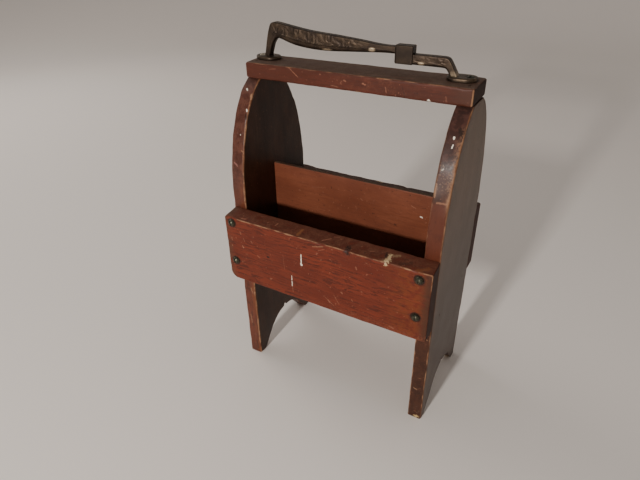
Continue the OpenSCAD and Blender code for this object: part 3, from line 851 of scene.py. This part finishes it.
def end_outline():
    """The end board's outline, anticlockwise from the front foot's front corner, and the
    number of points along its bottom. Between the feet the cut-out flares, then follows a
    half ellipse with a small pointed peak."""
    start = math.asin(FLARE_Z / ARCH_H)
    turn = np.linspace(math.pi - start, start, 81)
    arch = np.column_stack([ARCH_HALF * np.cos(turn), ARCH_H * np.sin(turn)])
    arch[:, 1] += PEAK_H * np.clip(1 - np.abs(arch[:, 0]) / PEAK_HALF, 0, None)
    foot_in = HALF_DEPTH - FOOT_W
    bottom = np.vstack([
        line((-HALF_DEPTH, 0), (-foot_in, 0), FOOT_STEPS + 1)[:-1],
        line((-foot_in, 0), arch[0], FLARE_STEPS + 1)[:-1],
        arch,
        line(arch[-1], (foot_in, 0), FLARE_STEPS + 1)[1:],
        line((foot_in, 0), (HALF_DEPTH, 0), FOOT_STEPS + 1)[1:],
    ])
    lift = CROWN_RISE * np.sin(np.linspace(0, math.asin(CROWN_H / CROWN_RISE), 90))
    crown = np.column_stack([HALF_DEPTH * np.sqrt(1 - (lift / CROWN_RISE) ** 2), CROWN_Z + lift])
    edge = np.vstack([line((HALF_DEPTH, 0), (HALF_DEPTH, CROWN_Z), SIDE_STEPS + 1)[:-1], crown])
    top = line((TOP_HALF, CROWN_Z + CROWN_H), (-TOP_HALF, CROWN_Z + CROWN_H), len(bottom))
    left = edge[::-1] * (-1, 1)
    return np.vstack([bottom[:-1], edge[:-1], top[:-1], left[:-1]]), len(bottom)


def end_board(name, lo, hi, seed, inner_wear, outer_wear, spread):
    """An end board: arched top, cut-out between its feet, rounded and worn arrises. spread
    widens the worn band on its front edge a hand's width below the top."""
    ring, across = end_outline()
    reach = 3.0
    inner = inset_ring(ring, reach)
    # mitred corners bunch the points of the straight runs together, so they are spread evenly
    side = across - 1
    left_side = len(ring) - SIDE_STEPS
    straight = (
        (0, FOOT_STEPS), (side - FOOT_STEPS, side), (side, side + SIDE_STEPS), (left_side, len(ring)),
    )
    for start, stop in straight:
        run = np.arange(start, stop + 1) % len(ring)
        inner[run] = line(inner[run[0]], inner[run[-1]], len(run))
    middle, half = (lo[0] + hi[0]) / 2, (hi[0] - lo[0]) / 2
    y, z = ring[:, 0], ring[:, 1]
    front = ease(-60, -68, y) + ease(258, 300, z) * ease(0, -10, y)
    front_r = np.clip(1.1 + 0.45 * wander(seed, 28, z, y) + 0.6 * front, 0.5, 2.6)
    back_r = np.clip(1.1 + 0.4 * wander(seed + 1, 28, z, y), 0.5, 2.6)
    chips = chipped(z, ((12, 5, 0.8), (3, 3, 1.0), (352, 4, 0.9), (306, 5, 0.7)))
    front_r = np.clip(front_r + chips * front, 0.5, 2.8)

    outward = 1 if middle > 0 else -1
    nails = nail_places("bottom_nails_right" if middle > 0 else "bottom_nails_left", 2)

    def shape(a, b, w):
        hollow = dimples(a, b, nails) * ease(0, half, outward * w) * outward
        swell = 0.2 * wander(seed + 4, 90, a, b) * ease(0, half, np.abs(w))
        return a + 0.2 * wander(seed + 3, 60, b, w), b, w + swell - hollow

    def half_width(b):
        """Half the board's depth at height b."""
        lift = np.clip(b - CROWN_Z, 0, None)
        return HALF_DEPTH * np.sqrt(np.clip(1 - (lift / CROWN_RISE) ** 2, 0.02, 1))

    def wear(a, b):
        at_front = ease(-0.86, -0.97, a / np.maximum(half_width(b), 1))
        inner_side = at_front * inner_wear * (0.92 + 0.25 * wander(seed + 5, 45, b))
        feet = ease(6, 0, b) * 0.6
        wide = 1.9 + spread * ease(290, 315, b) * ease(385, 350, b)
        patchy = 0.8 + 0.3 * wander(seed + 6, 35, b)
        outer_side = at_front * (outer_wear + 0.3 * ease(160, 140, b)) * patchy
        return np.maximum(inner_side, feet), np.maximum(outer_side, feet), wide, 0.0

    shell = Shell()
    place = board_place("end")
    slab(
        shell, ring, inner, across, place=lambda a, b, w: place(a, b, w, middle),
        half=half, front_r=front_r, back_r=back_r, reach=reach, shape=shape, wear=wear, wall=10,
    )
    return shell.make(f"{name}_surface", WOODS[name], [name])


end_board("end_board_left", left_lo, left_hi, seed=71, inner_wear=1.1, outer_wear=0.45, spread=0.0)
end_board("end_board_right", right_lo, right_hi, seed=83, inner_wear=0.85, outer_wear=0.6, spread=2.2)


def flat_board(
    name, kind, lo, hi, seed, reach, step, arris, wear, radii=(1, 1, 1, 1), shape=None
):
    """A plain board: the bottom, the divider or the bar. Its arrises are arris wide, and its
    faces swell with slow noise unless a shape of its own is given."""
    a_axis, b_axis, w_axis = {"flat": (0, 1, 2), "rail": (0, 2, 1)}[kind]
    middle, half = (lo[w_axis] + hi[w_axis]) / 2, (hi[w_axis] - lo[w_axis]) / 2
    corner_lo, corner_hi = (lo[a_axis], lo[b_axis]), (hi[a_axis], hi[b_axis])
    ring, inner, across = rect_rings(corner_lo, corner_hi, radii, step, reach)
    r = np.clip(arris * (1 + 0.25 * wander(seed, 30, ring[:, 0], ring[:, 1])), 0.3, reach * 0.8)

    def plain(a, b, w):
        return a, b, w + 0.12 * wander(seed + 1, 80, a, b) * ease(0, half, np.abs(w))

    shell = Shell()
    place = board_place(kind)
    slab(
        shell, ring, inner, across, place=lambda a, b, w: place(a, b, w, middle),
        half=half, front_r=r, back_r=r, reach=reach, shape=shape or plain, wear=wear,
    )
    return shell.make(f"{name}_surface", WOODS[name], [name])


def no_wear(a, b):
    """Clean arrises all round."""
    return 0 * a, 0 * a, 1 + 0 * a, 0.0


def divider_wear(a, b):
    """The top arrises, a little."""
    top = ease(panel_hi[2] - 1.5, panel_hi[2], b) * (0.8 + 0.3 * wander(5, 50, a))
    return top * 0.25, top * 0.25, 1.2 + 0 * a, 0.0


def bar_wear(a, b):
    """The front arrises and the front halves of the two ends, most at the right corner."""
    front_half = ease(0, -20, b)
    front = ease(bar_lo[1] + 2, bar_lo[1], b) * (0.8 + 0.35 * wander(6, 45, a))
    right_end = ease(bar_hi[0] - 1.5, bar_hi[0], a) * front_half
    left_end = ease(bar_lo[0] + 1.5, bar_lo[0], a) * 0.7 * front_half
    upper = np.maximum.reduce([front, right_end, left_end])
    corner = 1.3 * bump_at(a, b, bar_hi[0], bar_lo[1], 1.7, 1.7)
    return upper, 0.5 * np.maximum(front, right_end), 1.4 + 0 * a, corner


def bar_shape(a, b, w):
    """Slow swells, and hollows in the top over the nails."""
    nails = [(x, y) for side in ("left", "right") for y, x in nail_places(f"bar_nails_{side}", 0)]
    swell = 0.12 * wander(100, 80, a, b) * ease(0, 8, np.abs(w))
    return a, b, w + swell - dimples(a, b, nails) * ease(0, 8, w)


flat_board(
    "bottom_board", "flat", base_lo, base_hi,
    seed=91, reach=3.0, step=4.0, arris=0.6, wear=no_wear,
)
flat_board(
    "centre_divider", "rail", panel_lo, panel_hi,
    seed=95, reach=2.2, step=1.6, arris=1.0, wear=divider_wear,
)
flat_board(
    "top_bar", "flat", bar_lo, bar_hi,
    seed=99, reach=4.5, step=1.2, arris=2.0, wear=bar_wear, radii=(2, 2.5, 1.5, 1.5), shape=bar_shape,
)


# ---------------------------------------------------------------- handle

handle_lo, handle_hi = cad("carry_handle")
HANDLE_Y = (handle_lo[1] + handle_hi[1]) / 2
BAR_TOP = bar_hi[2]


def antique_bronze():
    """Blackened bronze: dark brown with olive, brassy where it has been rubbed, and pale painted
    highlights as glints on the grip and arm.
    """
    f = Finish("antique_bronze", Metallic=0.85, Specular_IOR_Level=0.5)
    place = f.place()
    cloud = f.noise(f.vector(*(c * 0.06 for c in place)), 4.0, 0.6)
    fine = f.noise(f.vector(*(c * 0.7 for c in place)), 5.0, 0.65)
    pits = f.step(0.6, 0.72, f.noise(f.vector(*(c * 1.6 for c in place)), 2.0))
    rub = f.kept("rub")
    painted_glint = f.kept("painted_glint")
    colour = f.mix(f.step(0.35, 0.65, cloud), tone(54, 44, 38), tone(74, 61, 50))
    colour = f.mix(f.step(0.5, 0.7, fine) * 0.5, colour, tone(48, 46, 36))
    colour = f.mix(f.fade(0.05, 0.35, rub) * 0.45, colour, tone(34, 29, 25))
    colour = f.mix(f.step(0.6, 1.0, rub * 0.6 + cloud * 0.6) * 0.4, colour, tone(104, 88, 68))
    # painted highlight: pale glints on the grip and arm, laid into the colour
    colour = f.mix(f.step(0.25, 0.8, painted_glint), colour, tone(222, 200, 168))
    colour = f.mix(pits * 0.5, colour, tone(26, 23, 20))
    rough = 0.36 + fine * 0.16 - painted_glint * 0.16
    height = fine * 0.5 - pits * 0.5
    f.feed(Base_Color=colour, Roughness=rough, Normal=f.bump(height, 0.4, 0.0003))
    return f.material


def scroll_relief(u, v):
    """Height of the cast leaf work, 0 to 1. Spiral ridges wind about a row of centres,
    above and below the middle by turns, and slanting leaf veins fill what lies between."""
    u = u + 1.6 * wander(301, 17, u, 7 * v)
    v = v + 0.2 * wander(302, 19, u, 7 * v)
    height = 0.4 + 0.4 * np.cos(TAU * (u / 13.0 + 1.15 * v)) * (0.7 + 0.3 * wander(303, 15, u, 7 * v))
    for k, centre in enumerate(np.arange(10, 100, 21.0)):
        lift, size = (0.22, 5.2) if k % 2 else (-0.22, 6.2)
        du, dv = u - centre, (v - lift) * 7.0
        gap, turn = np.hypot(du, dv), np.arctan2(dv, du * (1 if k % 2 else -1))
        spiral = 0.5 + 0.5 * np.cos(turn - gap * 1.35)
        here = 0.85 * np.exp(-((gap / size) ** 4))
        height = height * (1 - here) + here * (0.1 + 0.8 * spiral)
    return height


def handle_place(a, b, w):
    """a along the bar, b up from its top, w to the back from the handle's middle plane."""
    return np.stack([a, HANDLE_Y + w, BAR_TOP + b], axis=-1)


def band_ring(lower, upper, rows):
    """A closed ring round the band between two lines: along the lower, up, back and down."""
    far, near = line(lower[-1], upper[-1], rows), line(lower[0], upper[0], rows)
    return np.vstack([lower[:-1], far[:-1], upper[::-1][:-1], near[::-1][:-1]])


def handle_strip(shell, pairs, columns, rows, half, low_bevel, top_bevel, relief, painted_glint, rub):
    """A stretch of the casting as a slab between two smooth lines, whose lower arris is a wide bevel. Each
    of pairs is a point of the upper line and one of the lower. Relief lifts both faces, and the painted
    highlights and the rub are kept at the points for the finish."""
    pairs = np.asarray(pairs, float)
    upper, lower = through(pairs[:, :2], columns), through(pairs[:, 2:], columns)
    ring = band_ring(lower, upper, rows)
    # the inner ring lies a third of the way in, and stops a little short of both ends
    share, short = 0.32, 0.012
    at = np.linspace(short, 1 - short, columns) * (columns - 1)

    def shortened(points):
        return np.column_stack([np.interp(at, np.arange(columns), points[:, k]) for k in (0, 1)])

    inner_low, inner_top = lower + (upper - lower) * share, upper + (lower - upper) * share
    inner = band_ring(shortened(inner_low), shortened(inner_top), rows)
    r = np.where(np.arange(len(ring)) < columns - 1, low_bevel, top_bevel)

    def shape(a, b, w):
        lift = relief(a, b) * ease(0.55, 1.0, np.abs(w) / half(a, b))
        return a, b, w + np.sign(w) * lift

    first, start = len(shell.points), shell.count
    slab(
        shell, ring, inner, columns, place=handle_place,
        half=half, front_r=r, back_r=r, reach=3.2, shape=shape, wall=7,
    )
    for points in shell.points[first:]:
        x, y, z = (points - (0, HANDLE_Y, BAR_TOP)).T
        for name, rule in (("painted_glint", painted_glint), ("rub", rub)):
            shell.marks.setdefault(name, []).append((start, rule(x, y, z)))
        start += len(points)


GRIP_LOW = (
    (-104, 24), (-88, 20.8), (-77, 18.2), (-62, 16.4), (-45, 15.6),
    (-28, 16), (-10, 17), (5, 17.9), (22, 19), (44, 19.5),
)
GRIP_TOP = (
    (-107, 41.5), (-90, 39.5), (-78, 37.6), (-62, 35.4), (-45, 33.9),
    (-28, 32.8), (-10, 31.2), (5, 29.8), (22, 27.9), (44, 27.3),
)


def grip_height(x, z):
    """Where z lies between the grip's underside, at -1, and its top, at 1; and the height of
    the underside."""
    low, top = np.interp(x, *zip(*GRIP_LOW)), np.interp(x, *zip(*GRIP_TOP))
    return 2 * (z - low) / (top - low) - 1, low


def grip_band(x, v):
    """1 on the grip's leaf work, which stops short of the post and of the block."""
    return ease(-0.35, -0.2, v) * ease(1.02, 0.8, v) * ease(-112, -104, x) * ease(10, -4, x)


def grip_half(a, b):
    """Half the grip's thickness, which thins to the right."""
    return 4.6 - 0.6 * ease(-60, 40, a)


def grip_relief(a, b):
    """Leaf work over a shallow sinking, above a thin ridge along the grip."""
    v, _ = grip_height(a, b)
    band = grip_band(a, v)
    ridge = 0.5 * np.exp(-(((v + 0.3) / 0.07) ** 2)) * ease(-112, -100, a) * ease(44, 38, a)
    return band * 0.6 * scroll_relief(a + 108, v - 0.35) - 0.25 * band + ridge


def grip_painted_glints(x, y, z):
    """Two painted highlights low on the grip, as bell curves."""
    _, low = grip_height(x, z)
    return 0.9 * bump_at(x, z, -37, low + 1.6, 8.0, 1.3) + 0.9 * bump_at(x, z, 17, low + 2.8, 4.5, 2.8)


def grip_rub(x, y, z):
    """How high the relief stands on the two faces, and a plain value on the edges."""
    v, _ = grip_height(x, z)
    band = grip_band(x, v)
    high = (grip_relief(x, z) + 0.25 * band) / 0.6 * band + 0.45 * (1 - band)
    return np.clip(high, 0, 1) * ease(2, 4, np.abs(y)) + 0.3 * ease(4, 2, np.abs(y))


def arm_half(a, b):
    """Half the arm's thickness."""
    return 4.3 + 0 * a


def arm_relief(a, b):
    """Leaf work in a shallow sinking along the arm's upper half."""
    v = (b - ARM_LOW) / ARM_LOW
    band = ease(0.25, 0.4, v) * ease(1.0, 0.85, v) * ease(62, 66, a) * ease(100, 94, a)
    return band * (0.45 * scroll_relief(a - 60, 2 * v - 1.4) - 0.2)


def arm_painted_glints(x, y, z):
    """One painted highlight as a bell curve, and a brighter low part of the post."""
    return 0.85 * bump_at(x, z, 72, 12.5, 4.0, 2.2) + 0.4 * ease(100, 104, x) * ease(15, 6, z)


def arm_rub(x, y, z):
    """Plain along the arm, and more rubbed on the post."""
    return 0.35 + 0.5 * ease(98, 104, x)


# Points of the casting, as x and z of the upper line and x and z of the lower line.
ARM_LOW = 10.5
GRIP = (
    (-122, 0.5, -115, 0.5), (-119.6, 10, -111.9, 10), (-117.5, 20, -109, 17.5),
    (-115.2, 29, -106.3, 21.5), (-113, 35.5, -104.4, 23.3), (-110.8, 39.8, -102.8, 24.2),
    (-107, 41.5, -100.8, 24.4), (-101, 41.2, -97, 23.6), (-90, 39.5, -88, 20.8),
    (-78, 37.6, -77, 18.2), (-62, 35.4, -62, 16.4), (-45, 33.9, -45, 15.6), (-28, 32.8, -28, 16),
    (-10, 31.2, -10, 17), (5, 29.8, 5, 17.9), (22, 27.9, 22, 19), (34, 27.2, 34, 19.5),
    (45, 27.3, 45, 19.5),
)
ARM = (
    (58, 21, 58, ARM_LOW), (78, 21, 78, ARM_LOW), (90, 21, 88, ARM_LOW), (96, 20.8, 94, 10.4),
    (99.8, 19.8, 97, 10), (102.3, 17.2, 98.9, 8.6), (105.6, 12, 101, 5.6), (112.7, 0.5, 104.3, 0.5),
)
BLOCK_LO, BLOCK_HI, BLOCK_HALF = (43, ARM_LOW), (63, 29), 5.5


def block(shell):
    """The square block between the grip and the arm; its left arrises are the widest."""
    reach = 2.4
    ring, inner, across = rect_rings(BLOCK_LO, BLOCK_HI, (1.5, 1, 1, 1.5), 1.0, reach)
    r = 0.9 + 1.3 * ease(44.5, 43.2, ring[:, 0])
    slab(
        shell, ring, inner, across, place=handle_place,
        half=BLOCK_HALF, front_r=r, back_r=r, reach=reach, wall=7,
    )


PAD_L, PAD_W, PAD_T, PAD_OUT = 31.0, 22.0, 4.0, 8.0
SHANK_R, CONE_R, PAD_LOW = 2.2, 4.1, 0.05


def foot_pad(shell, node, side):
    """A foot pad: a long round-ended plate with a countersunk hole. Rings of points run
    from the hole's cone over the top and the round edge to the underside, each ring a
    share of the way from the screw's axis to the plate's outline."""
    lo, hi = cad(node)
    screw_x = (lo[0] + hi[0]) / 2
    turn = np.linspace(0, TAU, 96, endpoint=False)
    dx, dy = np.cos(turn), np.sin(turn)
    # distance from the screw's axis to the outline in each direction, by short steps outwards
    reach = np.linspace(0.5, 40, 1200)[:, None]
    from_middle = np.abs(reach * dx + side * PAD_OUT)
    past_end = np.clip(from_middle - (PAD_L - PAD_W) / 2, 0, None)
    inside = np.hypot(past_end, reach * dy) <= PAD_W / 2
    outline = reach[np.argmin(inside, axis=0), 0]
    # each ring: its share of the way from the cone's rim to the outline, its height and how
    # rubbed it is; the rings of the hole give their radius
    hole = [(SHANK_R, PAD_LOW, 0.3), (SHANK_R, 0.8, 0.3), (CONE_R, PAD_T - 0.02, 0.6)]
    plate = [
        (0.25, PAD_T, 0.9), (0.6, PAD_T, 0.9), (0.86, PAD_T, 0.9), (0.93, PAD_T - 0.25, 1.0),
        (0.975, PAD_T - 0.8, 0.9), (1.0, PAD_T - 1.7, 0.7), (1.0, 0.6, 0.5),
        (0.985, PAD_LOW, 0.3), (0.6, PAD_LOW, 0.2),
    ]
    rings = [(radius + 0 * outline, z, rubbed) for radius, z, rubbed in hole]
    rings += [(CONE_R + (outline - CONE_R) * share, z, rubbed) for share, z, rubbed in plate]
    rings.append((SHANK_R + 0 * outline, PAD_LOW, 0.2))
    rows = [handle_place(screw_x + gap * dx, z + 0 * gap, gap * dy) for gap, z, _ in rings]
    rub = np.array([rubbed for _, _, rubbed in rings])[:, None]
    shell.grid(np.stack(rows), round_u=True, rub=rub)


def handle():
    """The casting: post and grip, block, lower arm and post, and two foot pads."""
    shell = Shell()
    handle_strip(
        shell, GRIP, columns=420, rows=26, half=grip_half, low_bevel=2.9, top_bevel=1.1,
        relief=grip_relief, painted_glint=grip_painted_glints, rub=grip_rub,
    )
    handle_strip(
        shell, ARM, columns=150, rows=18, half=arm_half, low_bevel=2.6, top_bevel=1.0,
        relief=arm_relief, painted_glint=arm_painted_glints, rub=arm_rub,
    )
    block(shell)
    foot_pad(shell, "handle_screw_left", -1)
    foot_pad(shell, "handle_screw_right", 1)
    bronze = antique_bronze()
    return shell.make("carry_handle_surface", bronze, ["carry_handle"], weld=2e-5)


handle()


# ---------------------------------------------------------------- screws and nails


def steel(name, dark, light, rough):
    """Old steel: a plain sheen with darker and browner clouds."""
    f = Finish(name, Metallic=0.9)
    place = f.place()
    cloud = f.noise(f.vector(*(c * 0.4 for c in place)), 4.0, 0.6)
    fine = f.noise(f.vector(*(c * 2.5 for c in place)), 3.0)
    colour = f.mix(f.step(0.35, 0.65, cloud), dark, light)
    f.feed(Base_Color=colour, Roughness=rough + fine * 0.2, Normal=f.bump(fine, 0.25, 0.0002))
    return f.material


def metal_for(name):
    """The finish of a screw or nail node, and nothing for any other."""
    if name == "handle_screw_left":
        return bright
    if "_screw_" in name:
        return blued
    return dark if "nails" in name else None


blued = steel("blued_steel", tone(56, 58, 49), tone(88, 86, 72), rough=0.3)
bright = steel("bright_steel", tone(150, 140, 122), tone(226, 216, 196), rough=0.25)
dark = steel("dark_nail", tone(58, 44, 36), tone(84, 66, 54), rough=0.5)
for name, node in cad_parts.items():
    metal = metal_for(name)
    if metal is not None:
        for slot in node.material_slots:
            slot.material = metal


# ---------------------------------------------------------------- floor, light, camera


def studio_floor(flat_r=2.4, rise_w=2.2, rise_h=3.0):
    """A plain dish: flat to flat_r metres, then turning up as a quarter ellipse, spun about Z."""
    turn = np.linspace(0, TAU, 96, endpoint=False)
    rise = np.linspace(0, math.pi / 2, 24)
    radius = np.r_[0.001, flat_r / 3, 2 * flat_r / 3, flat_r + rise_w * np.sin(rise)][:, None]
    height = np.r_[0, 0, 0, rise_h * (1 - np.cos(rise))][:, None]
    points = np.stack([radius * np.cos(turn), radius * np.sin(turn), height + 0 * turn], axis=-1)
    rows, cols = points.shape[:2]
    index = np.arange(rows * cols).reshape(rows, cols)
    index = np.hstack([index, index[:, :1]])
    quads = np.stack([index[:-1, :-1], index[1:, :-1], index[1:, 1:], index[:-1, 1:]], axis=-1)
    faces = quads.reshape(-1, 4).tolist() + [list(range(cols))]
    mesh = bpy.data.meshes.new("floor")
    mesh.from_pydata(points.reshape(-1, 3).tolist(), [], faces)
    mesh.polygons.foreach_set("use_smooth", np.ones(len(mesh.polygons), bool))
    mesh.materials.append(Finish("floor_pale", Base_Color=tone(244, 236, 229), Roughness=0.9).material)
    floor = bpy.data.objects.new("floor", mesh)
    bpy.context.scene.collection.objects.link(floor)


def soft_light(name, spot, target, size, power, colour=(1.0, 0.96, 0.91)):
    """A square lamp at spot that looks at target: size in metres, power in watts."""
    data = bpy.data.lights.new(name, "AREA")
    data.size, data.energy, data.color = size, power, colour
    lamp = bpy.data.objects.new(name, data)
    bpy.context.scene.collection.objects.link(lamp)
    lamp.location = spot
    lamp.rotation_euler = (Vector(target) - Vector(spot)).to_track_quat("-Z", "Y").to_euler()


def set_camera():
    """Camera at the viewing angle: yaw, pitch and roll in degrees about its own place."""
    data = bpy.data.cameras.new("camera")
    cam = bpy.data.objects.new("camera", data)
    bpy.context.scene.collection.objects.link(cam)
    data.sensor_width = 36.0
    data.lens = 28.49209
    yaw, pitch, roll = (math.radians(a) for a in (-30.503, 31.725, -1.239))
    ahead = Vector((math.sin(yaw) * math.cos(pitch), math.cos(yaw) * math.cos(pitch), -math.sin(pitch)))
    right = Vector((math.cos(yaw), -math.sin(yaw), 0.0))
    up = right.cross(ahead)
    right, up = math.cos(roll) * right + math.sin(roll) * up, math.cos(roll) * up - math.sin(roll) * right
    spot = Vector((0.24922, -0.51077, 0.54859))
    turned = Matrix((right, up, -ahead)).transposed().to_4x4()
    cam.matrix_world = Matrix.Translation(spot) @ turned
    bpy.context.scene.camera = cam


studio_floor()
soft_light("key", spot=(-0.07, -2.0, 0.88), target=(0, 0, 0.25), size=0.13, power=36)
soft_light("side", spot=(-1.9, 0.3, 1.3), target=(-0.6, 0.3, 0.0), size=1.2, power=12)
world = bpy.data.worlds.new("studio")
bpy.context.scene.world = world
world.use_nodes = True
backdrop = world.node_tree.nodes["Background"]
backdrop.inputs["Color"].default_value = (1.0, 0.97, 0.94, 1)
backdrop.inputs["Strength"].default_value = 0.28
set_camera()
